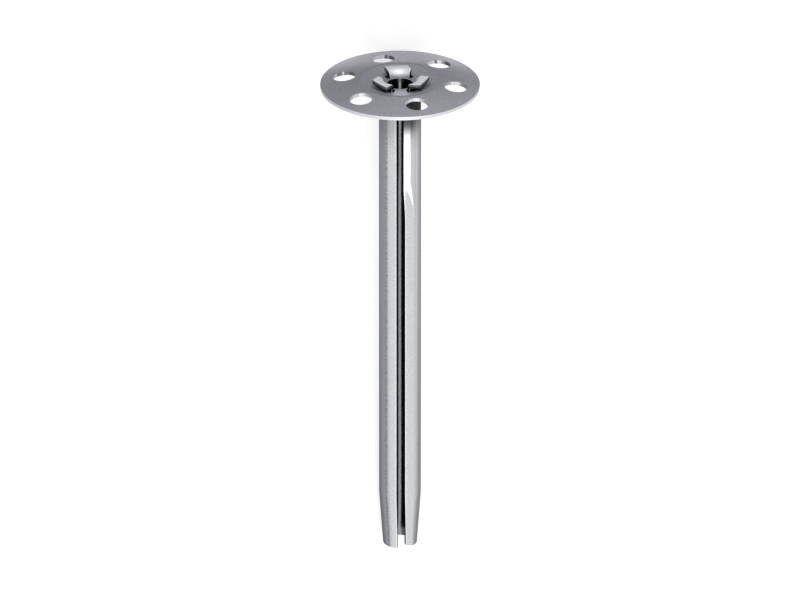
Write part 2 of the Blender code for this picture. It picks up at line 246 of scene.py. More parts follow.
class Sizes:
    """The sizes that follow from the settings."""

    def __init__(self, scene):
        plate = scene.anchor_plate
        sleeve = scene.anchor_sleeve
        self.plate = plate
        self.sleeve = sleeve
        self.sleeve_radius = sleeve.diameter / 2
        self.bore_wall = self.sleeve_radius - sleeve.wall
        self.tip_radius = sleeve.tip_diameter / 2
        self.half_slit = math.asin(sleeve.slit_width / 2 / self.sleeve_radius)
        self.tongue_pitch = FULL_TURN / sleeve.tongue_count
        self.tongue_half_width = self.sleeve_radius * math.sin(sleeve.tongue_half_arc)
        self.plate_radius = plate.diameter / 2
        self.hole_circle = self.plate_radius - plate.hole_margin - plate.hole_diameter / 2
        self.centre_radius = self.sleeve_radius + plate.centre_margin
        self.centre_top = plate.thickness + plate.centre_rise
        self.crest_radius = self.centre_radius + plate.flank_width
        cone_width = self.plate_radius - self.crest_radius
        self.crest_top = plate.thickness + cone_width * math.tan(plate.cone_slope)
        self.bore_radius = self.bore_wall - plate.crimp_gap - plate.bore_web
        self.shoulder = plate.centre_rise - plate.crimp_gap


# Shapes that both pieces use

def between(start, end, part):
    """The point or number this part of the way from start to end."""
    return start + (end - start) * part


def softened(part):
    """A way from 0 to 1 that starts and ends gently."""
    part = min(1.0, max(0.0, part))
    return part * part * (3 - 2 * part)


def around(radius, turn, height=0.0):
    """A point of a circle about the axis."""
    return Vector((radius * math.cos(turn), radius * math.sin(turn), height))


def lying_frame(sizes):
    """Where the anchor's upright frame lies, from the record's mount on the plate's centre."""
    mount = next(mount for mount in frame["record"]["mounts"] if mount["name"] == "plate_centre")
    axis = Vector(mount["axis"]).normalized()
    side = Vector((0, -1, 0))
    rear = axis.cross(side)
    origin = Vector(mount["pos_m"]) - axis * sizes.centre_top + rear * MOUNT_RADIUS
    place = Matrix((side, rear, axis)).transposed().to_4x4()
    place.translation = origin
    return place


def sheet_edges(points, faces):
    """A surface's normals, its cut edges, and the ways out of the surface at each of their points."""
    surface = bmesh.new()
    verts = [surface.verts.new(point) for point in points]
    for face in faces:
        surface.faces.new([verts[corner] for corner in face])
    surface.verts.index_update()
    surface.normal_update()
    normals = [vert.normal.copy() for vert in verts]
    cut_edges = []
    outward = {}
    for edge in surface.edges:
        if edge.is_boundary:
            loop = edge.link_loops[0]
            start, end = loop.vert, loop.link_loop_next.vert
            away = (end.co - start.co).normalized().cross(loop.face.normal)
            outward.setdefault(start.index, []).append(away)
            outward.setdefault(end.index, []).append(away)
            cut_edges.append((start.index, end.index))
    surface.free()
    return normals, cut_edges, outward


def rounded_sheet(points, faces, thickness, rounding, given_normals=None):
    """Points, faces, normals and each face's zone of a sheet below a surface, its cut edges rounded."""
    normals, cut_edges, outward = sheet_edges(points, faces)
    normals = given_normals or normals
    top = [point.copy() for point in points]
    for index, (first, second) in outward.items():
        away = (first + second) / (1 + first.dot(second))
        outward[index] = away - normals[index] * away.dot(normals[index])
        top[index] -= outward[index] * rounding
    bottom = [point - normal * thickness for point, normal in zip(top, normals)]
    count = len(points)
    all_points = top + bottom
    all_normals = list(normals) + [-normal for normal in normals]
    all_faces = [tuple(face) for face in faces]
    all_faces += [tuple(corner + count for corner in reversed(face)) for face in faces]
    zones = [OUTER] * len(faces) + [INNER] * len(faces)

    turns = [RIGHT_ANGLE * step / EDGE_STEPS for step in range(1, EDGE_STEPS + 1)]
    rows = {}
    for index, away in outward.items():
        column = [index]
        for start, normal, order in ((top[index], normals[index], turns),
                                     (bottom[index], -normals[index], reversed(turns))):
            for turn in order:
                column.append(len(all_points))
                sideways = away * (rounding * math.sin(turn))
                all_points.append(start + sideways - normal * (rounding * (1 - math.cos(turn))))
                leaning = away.normalized() * math.sin(turn) + normal * math.cos(turn)
                all_normals.append(leaning.normalized())
        column.append(index + count)
        rows[index] = column
    for start, end in cut_edges:
        left, right = rows[end], rows[start]
        for row in range(len(left) - 1):
            all_faces.append((left[row], right[row], right[row + 1], left[row + 1]))
            on_rounding = row < EDGE_STEPS / 2 or row >= len(left) - 1 - EDGE_STEPS / 2
            zones.append(OUTER if on_rounding else CUT)
    return all_points, all_faces, all_normals, zones


def remove_old(collection, name):
    """Remove what has this name from an earlier run."""
    old = collection.get(name)
    if old:
        collection.remove(old)


def new_object(name, data):
    """An object of this data in the scene."""
    remove_old(bpy.data.objects, name)
    made = bpy.data.objects.new(name, data)
    bpy.context.scene.collection.objects.link(made)
    return made


def piece(name, node, shape, materials, place):
    """An object of the finished shape in place of a node, inside that node's box."""
    points, faces, normals, zones = shape
    low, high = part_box(node)
    turn = place.to_3x3()
    inside = []
    for point in points:
        inside.append([min(max(value, least), most) for value, least, most in zip(place @ point, low, high)])
    mesh = bpy.data.meshes.new(name)
    mesh.from_pydata(inside, [], faces)
    mesh.shade_smooth()
    mesh.normals_split_custom_set_from_vertices([turn @ normal for normal in normals])
    for material in materials:
        mesh.materials.append(material)
    mesh.polygons.foreach_set("material_index", zones)
    made = new_object(name, mesh)
    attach(made, "root")
    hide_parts(node)


# Plate

def corner_arc(before, corner, after, radius):
    """Centre, radius and two ends of the arc that rounds a corner in (radius, height)."""
    towards_before = (before - corner).normalized()
    towards_after = (after - corner).normalized()
    half_angle = towards_before.angle(towards_after) / 2
    shorter_wall = min((before - corner).length, (after - corner).length)
    radius = min(radius, shorter_wall / 2 * math.tan(half_angle))
    reach = radius / math.tan(half_angle)
    centre = corner + (towards_before + towards_after).normalized() * (radius / math.sin(half_angle))
    return centre, radius, corner + towards_before * reach, corner + towards_after * reach


class PlateFace:
    """Height and slope of the plate's outer face at a distance from the axis."""

    def __init__(self, sizes):
        rim = Vector((sizes.plate_radius, sizes.plate.thickness))
        crest = Vector((sizes.crest_radius, sizes.crest_top))
        edge = Vector((sizes.centre_radius, sizes.centre_top))
        bore = Vector((sizes.bore_radius, sizes.centre_top))
        self.rim = rim
        self.slope = math.tan(sizes.plate.cone_slope)
        self.crest = corner_arc(rim, crest, edge, sizes.plate.crest_blend)
        self.dish = corner_arc(crest, edge, bore, sizes.plate.centre_blend)
        self.centre_top = sizes.centre_top

    def at(self, radius):
        """(height, slope) at this distance."""
        crest_centre, crest_radius, crest_outer, crest_inner = self.crest
        dish_centre, dish_radius, dish_outer, dish_inner = self.dish
        if radius >= crest_outer.x:
            return self.rim.y + (self.rim.x - radius) * self.slope, -self.slope
        if radius >= crest_inner.x:
            across = radius - crest_centre.x
            rise = math.sqrt(crest_radius ** 2 - across ** 2)
            return crest_centre.y + rise, -across / rise
        if radius >= dish_outer.x:
            slope = (crest_inner.y - dish_outer.y) / (crest_inner.x - dish_outer.x)
            return dish_outer.y + (radius - dish_outer.x) * slope, slope
        if radius >= dish_inner.x:
            across = radius - dish_centre.x
            rise = math.sqrt(dish_radius ** 2 - across ** 2)
            return dish_centre.y - rise, across / rise
        return self.centre_top, 0.0


def slot_outline(sizes, turn):
    """Outline of the curved slot that clears a tongue."""
    gap = sizes.plate.crimp_gap
    rounding = sizes.plate.slot_corner
    inner = sizes.bore_wall - gap
    outer = sizes.sleeve_radius + gap
    half_arc = sizes.sleeve.tongue_half_arc + gap / inner
    arc_steps = round(2 * half_arc / STRIP_STEP)

    def corner(radius, side, start):
        """Points round the corner whose middle is at this radius."""
        end = turn + side * (half_arc - math.asin(rounding / radius))
        bends = [end + start + RIGHT_ANGLE * step / CORNER_STEPS for step in range(CORNER_STEPS + 1)]
        return [around(radius, end) + around(rounding, bend) for bend in bends]

    outline = []
    for radius, side, start in ((outer, 1, 0.0), (inner, -1, math.pi)):
        near = radius - side * rounding
        far = inner + outer - near
        end = half_arc - math.asin(rounding / near)
        for part in range(1, arc_steps):
            outline.append(around(radius, turn + side * between(-end, end, part / arc_steps)))
        outline += corner(near, side, start) + corner(far, side, start + RIGHT_ANGLE)
    return outline


def hole_middles(sizes):
    """Middles of the round holes in the cone."""
    first = RIGHT_ANGLE + sizes.plate.hole_turn
    count = sizes.plate.hole_count
    return [around(sizes.hole_circle, first + index * FULL_TURN / count) for index in range(count)]


def plate_shape(sizes):
    """The domed plate as a rounded sheet."""
    face = PlateFace(sizes)
    hole_radius = sizes.plate.hole_diameter / 2
    middles = hole_middles(sizes)

    def ring(radius, count, middle=Vector((0, 0, 0))):
        """Points of a circle."""
        return [middle + around(radius, FULL_TURN * index / count) for index in range(count)]

    outlines = [ring(sizes.plate_radius, RIM_POINTS), ring(sizes.bore_radius, BORE_POINTS)]
    outlines += [ring(hole_radius, HOLE_POINTS, middle) for middle in middles]
    for index in range(sizes.sleeve.tongue_count):
        outlines.append(slot_outline(sizes, RIGHT_ANGLE + index * sizes.tongue_pitch))
    flat_points = []
    regions = []
    for outline in outlines:
        regions.append(list(range(len(flat_points), len(flat_points) + len(outline))))
        flat_points += [point.to_2d() for point in outline]

    radius = sizes.sleeve_radius + sizes.plate.crimp_gap + OUTLINE_CLEARANCE
    blend_end = face.crest[2].x + BLEND_RING_STEP
    while radius < sizes.plate_radius - OUTLINE_CLEARANCE:
        step = BLEND_RING_STEP if radius < blend_end else CONE_RING_STEP
        for point in ring(radius, round(FULL_TURN * radius / max(step, 2 * BLEND_RING_STEP))):
            if min((point - middle).length for middle in middles) > hole_radius + OUTLINE_CLEARANCE:
                flat_points.append(point.to_2d())
        radius += step

    found, _, triangles, _, _, owners = delaunay_2d_cdt(flat_points, [], regions, 1, CDT_PRECISION)
    faces = [triangle for triangle, owner in zip(triangles, owners) if owner == [0]]
    points = []
    normals = []
    for point in found:
        height, slope = face.at(point.length)
        points.append(Vector((point.x, point.y, height)))
        outward = point.normalized()
        normals.append(Vector((-slope * outward.x, -slope * outward.y, 1.0)).normalized())
    points, faces, normals, zones = rounded_sheet(
        points, faces, sizes.plate.thickness, sizes.plate.edge_round, normals)
    # Both sides are coated, and the edges in the dish take the bore's dark colour, a painted shade
    for index, face in enumerate(faces):
        if zones[index] == INNER:
            zones[index] = OUTER
        elif zones[index] == CUT and points[face[0]].to_2d().length < sizes.crest_radius:
            zones[index] = INNER
    return points, faces, normals, zones


# Sleeve

def strip_angles(sizes):
    """Angles of the strip's columns, counted from the middle of the slit, and each tongue's columns."""
    edges = [sizes.half_slit]
    for index in range(sizes.sleeve.tongue_count):
        middle = (index + 0.5) * sizes.tongue_pitch
        edges += [middle - sizes.sleeve.tongue_half_arc, middle + sizes.sleeve.tongue_half_arc]
    edges.append(FULL_TURN - sizes.half_slit)
    angles = [edges[0]]
    tongues = []
    for index, (start, end) in enumerate(zip(edges, edges[1:])):
        steps = max(1, round((end - start) / STRIP_STEP))
        first = len(angles) - 1
        angles += [between(start, end, step / steps) for step in range(1, steps + 1)]
        if index % 2:
            tongues.append((first, len(angles) - 1))
    return angles, tongues


def round_point(sizes, turn, radius):
    """A point of the rolled strip; the slit keeps its width and leans a little where the sleeve narrows."""
    here = math.asin(sizes.sleeve.slit_width / 2 / radius)
    spread = math.pi + (turn - math.pi) * (math.pi - here) / (math.pi - sizes.half_slit)
    narrowed = (sizes.sleeve_radius - radius) / (sizes.sleeve_radius - sizes.tip_radius)
    spread += sizes.sleeve.slit_lean * narrowed
    return Vector((radius * math.sin(spread), -radius * math.cos(spread), 0.0))


def slit_edge(sizes, depth):
    """Turn from the slit's middle to the lip's edge, which stands into the slit."""
    sleeve = sizes.sleeve
    tip = math.atan2(sleeve.slit_width / 2 - sleeve.lip_overhang, sizes.sleeve_radius + sleeve.lip_stand)
    started = softened((depth - sleeve.lip_top) / (sleeve.lip_full_from - sleeve.lip_top))
    ended = softened((depth - sleeve.lip_full_to) / (sleeve.lip_end - sleeve.lip_full_to))
    return between(sizes.half_slit, tip, started * (1 - ended))


def lip_planes(sizes):
    """A point and the outward direction of each plane that the lip is folded along."""
    sleeve = sizes.sleeve
    front = -sizes.sleeve_radius - sleeve.lip_stand
    tip = Vector((sleeve.slit_width / 2 - sleeve.lip_overhang, front, 0.0))
    crease = Vector((tip.x + sleeve.lip_width, front, 0.0))
    flank_end = around(sizes.sleeve_radius, sleeve.lip_flank_end - RIGHT_ANGLE)
    flank_way = flank_end - crease
    flank = Vector((flank_way.y, -flank_way.x, 0.0)).normalized()
    return [(tip, around(1.0, -RIGHT_ANGLE)), (crease, flank), run_out_plane(sizes)]


def run_out_plane(sizes):
    """The facet along which the lip runs out into the round wall."""
    sleeve = sizes.sleeve
    start = around(sizes.sleeve_radius, sizes.half_slit - RIGHT_ANGLE, -sleeve.lip_crease_start)
    end = around(sizes.sleeve_radius, sleeve.lip_crease_turn - RIGHT_ANGLE, -sleeve.lip_crease_end)
    level_way = around(1.0, sleeve.lip_facet_turn - RIGHT_ANGLE)
    crease = end - start
    fall = -crease.dot(level_way) / crease.z
    return start, (level_way + Vector((0, 0, fall))).normalized()


def lip_point(sizes, turn, depth):
    """A point of the wall at a turn and a depth where its edge is folded into a lip and a flank."""
    sleeve = sizes.sleeve
    plain = round_point(sizes, turn, sizes.sleeve_radius) - Vector((0, 0, depth))
    if turn >= sleeve.lip_flank_end:
        return plain
    part = (turn - sizes.half_slit) / (sleeve.lip_flank_end - sizes.half_slit)
    here = between(slit_edge(sizes, depth), sleeve.lip_flank_end, part)
    way = around(1.0, here - RIGHT_ANGLE)
    reach = math.inf
    for middle, outward in lip_planes(sizes):
        reach = min(reach, (middle.dot(outward) + depth * outward.z) / way.dot(outward))
    ended = softened((depth - sleeve.lip_full_to) / (sleeve.lip_crease_start - sleeve.lip_full_to))
    reach = max(reach, sizes.sleeve_radius - LIP_DIP * (1 - ended))
    started = softened((depth - sleeve.lip_top) / (sleeve.lip_full_from - sleeve.lip_top))
    return way * between(sizes.sleeve_radius, reach, started) - Vector((0, 0, depth))


def taper_radius(sizes, depth):
    """The sleeve's outer radius at a depth, with a soft bend where the taper starts."""
    sleeve = sizes.sleeve
    start = sleeve.length - sleeve.taper_length
    fall = (sizes.sleeve_radius - sizes.tip_radius) / sleeve.taper_length
    past = depth - (start - sleeve.taper_blend / 2)
    if past <= 0:
        return sizes.sleeve_radius
    if past < sleeve.taper_blend:
        return sizes.sleeve_radius - fall * past ** 2 / (2 * sleeve.taper_blend)
    return sizes.sleeve_radius - fall * (depth - start)


def wall_column(sizes, turn):
    """The strip's points at one angle, from the shoulder under the plate down to the tip."""
    sleeve = sizes.sleeve
    column = [round_point(sizes, turn, sizes.sleeve_radius) + Vector((0, 0, sizes.shoulder))]
    for start, end, steps in ((sleeve.lip_top, sleeve.lip_full_from, LIP_RAMP_STEPS),
                              (sleeve.lip_full_to, sleeve.lip_end, LIP_CREASE_STEPS)):
        for step in range(steps + 1):
            column.append(lip_point(sizes, turn, between(start, end, step / steps)))
    bend_start = sleeve.length - sleeve.taper_length - sleeve.taper_blend / 2
    cut_part = max(0.0, 1.0 - (turn - sizes.half_slit) / (sleeve.tip_corner_arc - sizes.half_slit))
    tip_depth = sleeve.length - sleeve.tip_corner_cut * cut_part
    depths = [BELOW_LIP * sleeve.lip_end, bend_start - sleeve.taper_blend / 2]
    depths += [bend_start + sleeve.taper_blend * step / KINK_STEPS for step in range(KINK_STEPS + 1)]
    depths += [bend_start + 2 * sleeve.taper_blend, between(bend_start, tip_depth, TAPER_ROW), tip_depth]
    for depth in depths:
        point = round_point(sizes, turn, taper_radius(sizes, depth))
        column.append(point - Vector((0, 0, depth)))
    return column


def tongue_edge(sizes, part):
    """The tongue's outer edge, from past the cut corner to the pointed one."""
    sleeve = sizes.sleeve
    cut = -(sizes.tongue_half_width - sleeve.tongue_cut_side)
    point = sizes.tongue_half_width + sleeve.tongue_point_flare
    out = sizes.sleeve_radius + sleeve.tongue_reach - sleeve.tongue_point_back * part ** 2
    return Vector((between(cut, point, part), out, 0.0))


def tongue_column(sizes, step, steps, middle):
    """One column of a tongue: up through the slot, round the bend and out over the plate."""
    sleeve = sizes.sleeve
    turn = between(-sleeve.tongue_half_arc, sleeve.tongue_half_arc, step / steps)
    base = Vector((sizes.sleeve_radius * math.sin(turn), sizes.sleeve_radius * math.cos(turn), 0.0))
    if step == 0:
        side = -(sizes.tongue_half_width - sleeve.tongue_side_nip)
        end = Vector((side, sizes.sleeve_radius + sleeve.tongue_reach - sleeve.tongue_cut_length, 0.0))
    else:
        end = tongue_edge(sizes, (step - 1) / (steps - 1))
    outwards = (end - base).normalized()
    underside = sizes.centre_top + sleeve.tongue_seat
    bend_foot = underside - sleeve.tongue_bend
    column = [base + Vector((0, 0, bend_foot))]
    for bend in range(1, BEND_STEPS + 1):
        lean = RIGHT_ANGLE * bend / BEND_STEPS
        rise = bend_foot + sleeve.tongue_bend * math.sin(lean)
        column.append(base + outwards * sleeve.tongue_bend * (1 - math.cos(lean)) + Vector((0, 0, rise)))
    column.append(between(column[-1], end + Vector((0, 0, underside)), TONGUE_ROW))
    column.append(end + Vector((0, 0, underside)))
    to_place = Matrix.Rotation(middle - math.pi, 4, "Z")
    return [to_place @ Vector((-point.x, point.y, point.z)) for point in column]


def sleeve_shape(sizes):
    """The rolled strip as a rounded sheet: wall, folded lip, tapered tip and bent tongues."""
    angles, tongues = strip_angles(sizes)
    points = []
    faces = []
    wall = []
    for turn in angles:
        column = wall_column(sizes, turn)
        wall.append(list(range(len(points), len(points) + len(column))))
        points += column
    for left, right in zip(wall, wall[1:]):
        for row in range(len(left) - 1):
            faces.append((left[row], left[row + 1], right[row + 1], right[row]))
    for index, (first, last) in enumerate(tongues):
        middle = (index + 0.5) * sizes.tongue_pitch
        columns = []
        for column in range(first, last + 1):
            risen = tongue_column(sizes, column - first, last - first, middle)
            columns.append([wall[column][0]] + list(range(len(points), len(points) + len(risen))))
            points += risen
        for left, right in zip(columns, columns[1:]):
            for row in range(len(left) - 1):
                faces.append((left[row + 1], left[row], right[row], right[row + 1]))
    first_inner = len(points)
    points, faces, normals, zones = rounded_sheet(points, faces, sizes.sleeve.wall, sizes.sleeve.edge_round)
    # The tongues' upper sides are coated, and what faces the plate takes the near-black edge colour, a
    # painted shade
    for index, face in enumerate(faces):
        top = max(points[corner].z for corner in face)
        if zones[index] == INNER and top > sizes.centre_top:
            zones[index] = OUTER
        elif zones[index] == OUTER and len(face) == 4 and face[0] < first_inner and top > 0:
            zones[index] = CUT
    return points, faces, normals, zones


# Shader groups

def shader_group(name, inputs):
    """An empty node group and its inputs: numbers where their defaults are numbers, and else vectors."""
    remove_old(bpy.data.node_groups, name)
    group = bpy.data.node_groups.new(name, "ShaderNodeTree")
    for socket_name, default in inputs.items():
        kind = "NodeSocketFloat" if isinstance(default, float) else "NodeSocketVector"
        socket = group.interface.new_socket(socket_name, in_out="INPUT", socket_type=kind)
        if default is not None:
            socket.default_value = default
    return group, group.nodes.new("NodeGroupInput").outputs


def put_out(group, values):
    """Give the group an output for each of its results."""
    for name in values:
        group.interface.new_socket(name, in_out="OUTPUT", socket_type="NodeSocketFloat")
    out = group.nodes.new("NodeGroupOutput").inputs
    for name, value in values.items():
        group.links.new(value, out[name])


def add_node(tree, kind, values=None, **options):
    """A node with its options and the values of its sockets, linked where a value is a socket."""
    made = tree.nodes.new(kind)
    for option, value in options.items():
        setattr(made, option, value)
    for key, value in (values or {}).items():
        if isinstance(value, bpy.types.NodeSocket):
            tree.links.new(value, made.inputs[key])
        else:
            made.inputs[key].default_value = value
    return made


def maths(tree, operation, first, second=0.0, third=0.0, clamp=False):
    """The result of a Math node."""
    made = add_node(tree, "ShaderNodeMath", {0: first, 1: second, 2: third}, operation=operation)
    made.use_clamp = clamp
    return made.outputs[0]


def noise(tree, vector, scale, detail, roughness=0.5):
    """The value of a noise field; a scale of three parts stretches it."""
    if not isinstance(scale, (float, bpy.types.NodeSocketFloat)):
        vector = add_node(tree, "ShaderNodeMapping", {"Vector": vector, "Scale": scale}).outputs["Vector"]
        scale = 1.0
    values = {"Vector": vector, "Scale": scale, "Detail": detail, "Roughness": roughness}
    return add_node(tree, "ShaderNodeTexNoise", values).outputs["Fac"]


def ramp(tree, value, low, high, kind="SMOOTHSTEP"):
    """The value from low to high as 0 to 1."""
    values = {"Value": value, "From Min": low, "From Max": high}
    return add_node(tree, "ShaderNodeMapRange", values, interpolation_type=kind).outputs["Result"]


def zone(group, given, name, value):
    """The value from one end of the group's zone of this name to the other as 0 to 1."""
    return ramp(group, value, given[name + " From"], given[name + " To"])


def parts_of(tree, vector):
    """X, Y and Z of a vector."""
    return add_node(tree, "ShaderNodeSeparateXYZ", {"Vector": vector}).outputs


def turn_from_slit(tree, place):
    """The turn about the axis from the slit's middle, positive on the lip's side."""
    return maths(tree, "ARCTAN2", place["X"], maths(tree, "MULTIPLY", place["Y"], -1.0))


def off_axis(tree, place):
    """The distance from the axis."""
    squared = maths(tree, "MULTIPLY", place["Y"], place["Y"])
    return maths(tree, "SQRT", maths(tree, "MULTIPLY_ADD", place["X"], place["X"], squared))


def zinc_grain_group():
    """Fine grain and soft patches of a zinc coat."""
    inputs = {"Vector": None, "Grain Size": 0.25 * MM, "Patch Size": 2.2 * MM, "Cell Relief": 0.5}
    group, given = shader_group("zinc_grain", inputs)
    grain_scale = maths(group, "DIVIDE", 1.0, given["Grain Size"])
    patch_scale = maths(group, "DIVIDE", 1.0, given["Patch Size"])
    grain = noise(group, given["Vector"], grain_scale, detail=3.0, roughness=0.6)
    patches = noise(group, given["Vector"], patch_scale, detail=4.0, roughness=0.55)
    cells = add_node(group, "ShaderNodeTexVoronoi", {"Vector": given["Vector"], "Scale": grain_scale})
    height = maths(group, "MULTIPLY_ADD", cells.outputs["Distance"], given["Cell Relief"], grain)
    put_out(group, {"Grain": grain, "Patches": patches, "Height": height})


def drawn_lines_group():
    """Fine lines that drawing leaves along Z, deeper scratches, and the rolls' marks beside the slit.

    The left mark is dashed and wobbles a little; the right one is fainter and straight.
    """
    inputs = {
        "Vector": None,
        "Fine Scale": (5200.0, 5200.0, 60.0), "Broad Scale": (1500.0, 1500.0, 16.0), "Broad Share": 0.6,
        "Scratch Scale": (2600.0, 2600.0, 150.0), "Scratch From": 0.70, "Scratch To": 0.76,
        "Left Turn": -0.715, "Left From": 0.085, "Left To": 0.025,
        "Wobble Scale": (1.0, 1.0, 900.0), "Wobble": 0.04,
        "Dash Scale": (1.0, 1.0, 2300.0), "Dash From": 0.40, "Dash To": 0.60,
        "Right Turn": 0.76, "Right From": 0.04, "Right To": 0.01, "Right Share": 0.45,
    }
    group, given = shader_group("drawn_lines", inputs)
    vector = given["Vector"]
    fine = noise(group, vector, given["Fine Scale"], detail=3.0, roughness=0.6)
    broad = noise(group, vector, given["Broad Scale"], detail=2.0)
    fine_part = maths(group, "MULTIPLY", fine, maths(group, "SUBTRACT", 1.0, given["Broad Share"]))
    lines = maths(group, "MULTIPLY_ADD", broad, given["Broad Share"], fine_part)
    streaks = noise(group, vector, given["Scratch Scale"], detail=1.0, roughness=0.4)
    scratches = zone(group, given, "Scratch", streaks)

    turn = turn_from_slit(group, parts_of(group, vector))
    waves = noise(group, vector, given["Wobble Scale"], detail=2.0)
    wobble = maths(group, "MULTIPLY", waves, given["Wobble"])
    left_turn = maths(group, "SUBTRACT", given["Left Turn"], wobble)
    left = maths(group, "ABSOLUTE", maths(group, "SUBTRACT", turn, left_turn))
    right = maths(group, "ABSOLUTE", maths(group, "SUBTRACT", turn, given["Right Turn"]))
    dashes = zone(group, given, "Dash", noise(group, vector, given["Dash Scale"], detail=2.0))
    left_mark = maths(group, "MULTIPLY", zone(group, given, "Left", left), dashes)
    right_mark = maths(group, "MULTIPLY", zone(group, given, "Right", right), given["Right Share"])
    marks = maths(group, "MAXIMUM", left_mark, right_mark)
    put_out(group, {"Lines": lines, "Scratches": scratches, "Marks": marks})


def edge_wear_group():
    """Where edges are rubbed bright, broken up by noise."""
    inputs = {
        "Vector": None, "From": 0.52, "To": 0.60,
        "Noise Scale": 1400.0, "Noise From": 0.35, "Noise To": 0.62,
    }
    group, given = shader_group("edge_wear", inputs)
    pointed = add_node(group, "ShaderNodeNewGeometry").outputs["Pointiness"]
    edge = ramp(group, pointed, given["From"], given["To"], kind="LINEAR")
    rubbing = noise(group, given["Vector"], given["Noise Scale"], detail=3.0)
    broken = zone(group, given, "Noise", rubbing)
    put_out(group, {"Wear": maths(group, "MULTIPLY", edge, broken, clamp=True)})


def painted_plate_light_and_shade_group():
    """Painted shadow of the plate on the sleeve under it, stronger on the lip's side, and zones over the
    plate.

    Past is all over it, where the tongues are painted lighter; Front the front tongues' upper edges,
    painted lighter; Dish the dished centre; and Dish Highlight the dish's front, a painted highlight.
    """
    inputs = {
        "Vector": None,
        "Faint From": -15.0 * MM, "Faint To": -6.0 * MM, "Faint Share": 0.35,
        "Deep From": -6.5 * MM, "Deep To": -2.5 * MM, "Deep Share": 0.62,
        "Lip From": -10.8 * MM, "Lip To": -6.5 * MM, "Lip Share": 0.58, "Lip Edge": 0.08,
        "Flank From": 0.45, "Flank To": 0.95, "Flank Loss": 0.45,
        "Back From": 1.6, "Back To": 2.6, "Back Loss": 0.55,
        "Past From": -0.5 * MM, "Past To": 0.5 * MM,
        "Front From": 1.0 * MM, "Front To": -1.0 * MM, "Upper From": 1.8 * MM, "Upper To": 2.3 * MM,
        "Dish From": 9.2 * MM, "Dish To": 8.2 * MM,
        "Ring From": 8.0 * MM, "Ring To": 7.5 * MM, "Near From": -2.5 * MM, "Near To": -5.5 * MM,
    }
    group, given = shader_group("painted_plate_light_and_shade", inputs)
    place = parts_of(group, given["Vector"])
    turn = turn_from_slit(group, place)
    across = off_axis(group, place)

    def reaching(name, value):
        """The zone of this name."""
        return zone(group, given, name, value)

    faint = maths(group, "MULTIPLY", reaching("Faint", place["Z"]), given["Faint Share"])
    deep = maths(group, "MULTIPLY_ADD", reaching("Deep", place["Z"]), given["Deep Share"], faint)
    past_flank = maths(group, "MULTIPLY", reaching("Flank", turn), given["Flank Loss"])
    behind = maths(group, "MULTIPLY_ADD", reaching("Back", turn), given["Back Loss"], past_flank)
    on_lip_side = ramp(group, turn, 0.0, given["Lip Edge"])
    beside = maths(group, "MULTIPLY", on_lip_side, maths(group, "SUBTRACT", 1.0, behind))
    lip = maths(group, "MULTIPLY", reaching("Lip", place["Z"]), given["Lip Share"])
    # Painted shadow of the plate on the sleeve, stronger beside the lip
    painted_shadow = maths(group, "MULTIPLY_ADD", beside, lip, deep, clamp=True)
    past = reaching("Past", place["Z"])
    shade = maths(group, "MULTIPLY", painted_shadow, maths(group, "SUBTRACT", 1.0, past))
    # Front tongues' upper edges, painted lighter
    front = maths(group, "MULTIPLY", reaching("Upper", place["Z"]), reaching("Front", place["Y"]))
    # The dish's front, a painted highlight
    dish_highlight = maths(group, "MULTIPLY", reaching("Ring", across), reaching("Near", place["Y"]))
    dish = reaching("Dish", across)
    put_out(group, {"Shade": shade, "Past": past, "Front": front, "Dish": dish, "Dish Highlight": dish_highlight})


def hole_streaks_and_side_shade_group():
    """Dark streaks of the round holes' walls and a painted shade on their side that faces left, stronger in
    the rear holes.
    """
    inputs = {
        "Vector": None, "Normal": None, "Outside": 16.4 * MM,
        "Side From": 0.25, "Side To": 0.70,
        "Streak Scale": (1150.0, 1150.0, 60.0), "Streak From": 0.50, "Streak To": 0.60, "Streak Share": 0.9,
        "Rear From": -9.0 * MM, "Rear To": 7.0 * MM, "Front Share": 0.4,
    }
    group, given = shader_group("hole_streaks_and_side_shade", inputs)
    place = parts_of(group, given["Vector"])
    inside = maths(group, "LESS_THAN", off_axis(group, place), given["Outside"])
    to_left = maths(group, "MULTIPLY", parts_of(group, given["Normal"])["X"], -1.0)
    # Painted shade on the side of the walls that faces left
    painted_side_shade = zone(group, given, "Side", to_left)
    streaks = noise(group, given["Vector"], given["Streak Scale"], detail=2.0, roughness=0.6)
    streaked = zone(group, given, "Streak", streaks)
    shade = maths(group, "MULTIPLY_ADD", streaked, given["Streak Share"], painted_side_shade, clamp=True)
    rear_share = maths(group, "SUBTRACT", 1.0, given["Front Share"])
    rearward = zone(group, given, "Rear", place["Y"])
    rear = maths(group, "MULTIPLY_ADD", rearward, rear_share, given["Front Share"])
    shade_here = maths(group, "MULTIPLY", shade, rear)
    put_out(group, {"Shade": maths(group, "MULTIPLY", shade_here, inside)})


# Zinc finish, with painted light and shade: tones of its layers and shares of their masks
GRAIN_SHARE = 0.9                 # of the grain in the coat's mottling, the rest are patches
MASK_LOW, MASK_HIGH = 0.3, 0.7    # the noise range that mottles the coat
LINE_TONE = 0.55
MARK_TONE, MARK_SHARE = 0.4, 0.85
SCRATCH_TONE, SCRATCH_SHARE = 1.25, 2.5
WORN_TONE, WORN_SHARE = 1.3, 0.6
# Painted shadow of the plate on the sleeve
PLATE_SHADOW_TONE = 0.04
# Tongues over the plate painted lighter, a painted light
TONGUE_LIGHT_TONE = 1.5
# Front tongues' upper edges painted lighter, a painted light
EDGE_LIGHT_TONE = 9.0
# A painted highlight on the dish's front
DISH_HIGHLIGHT_TONE = 1.75
# Streaks in the holes' walls, with a painted shade on the side that faces left
HOLE_STREAK_AND_SHADE_TONE = 0.06

